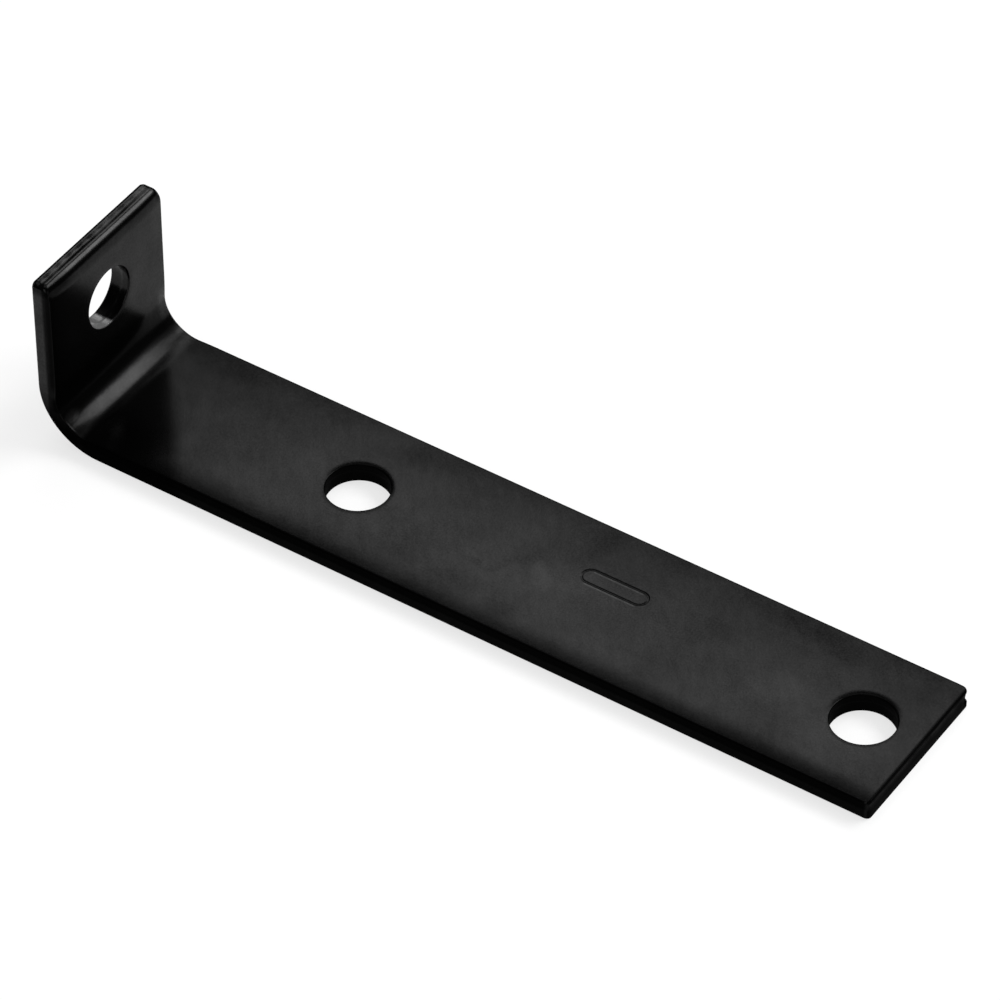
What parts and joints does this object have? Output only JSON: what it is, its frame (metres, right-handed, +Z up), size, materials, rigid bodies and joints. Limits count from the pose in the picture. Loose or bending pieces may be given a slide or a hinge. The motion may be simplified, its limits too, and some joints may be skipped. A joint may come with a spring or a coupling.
{
  "type": "corner brace",
  "caption": "L-shaped brace of flat steel bar with a long and a short leg, punched bolt holes in both and a satin black coat.",
  "frame": {"origin": "middle of the bounding box at the underside of the long leg", "axes": "+X along the long leg from the fold to the tip, +Y across the width, +Z up the short leg"},
  "size_m": [0.1968, 0.0382, 0.0413],
  "materials": {
    "black_coat": "satin black coat over sheared and punched steel"
  },
  "bodies": {
    "root": {"brace": "black_coat"}
  },
  "joints": []
}
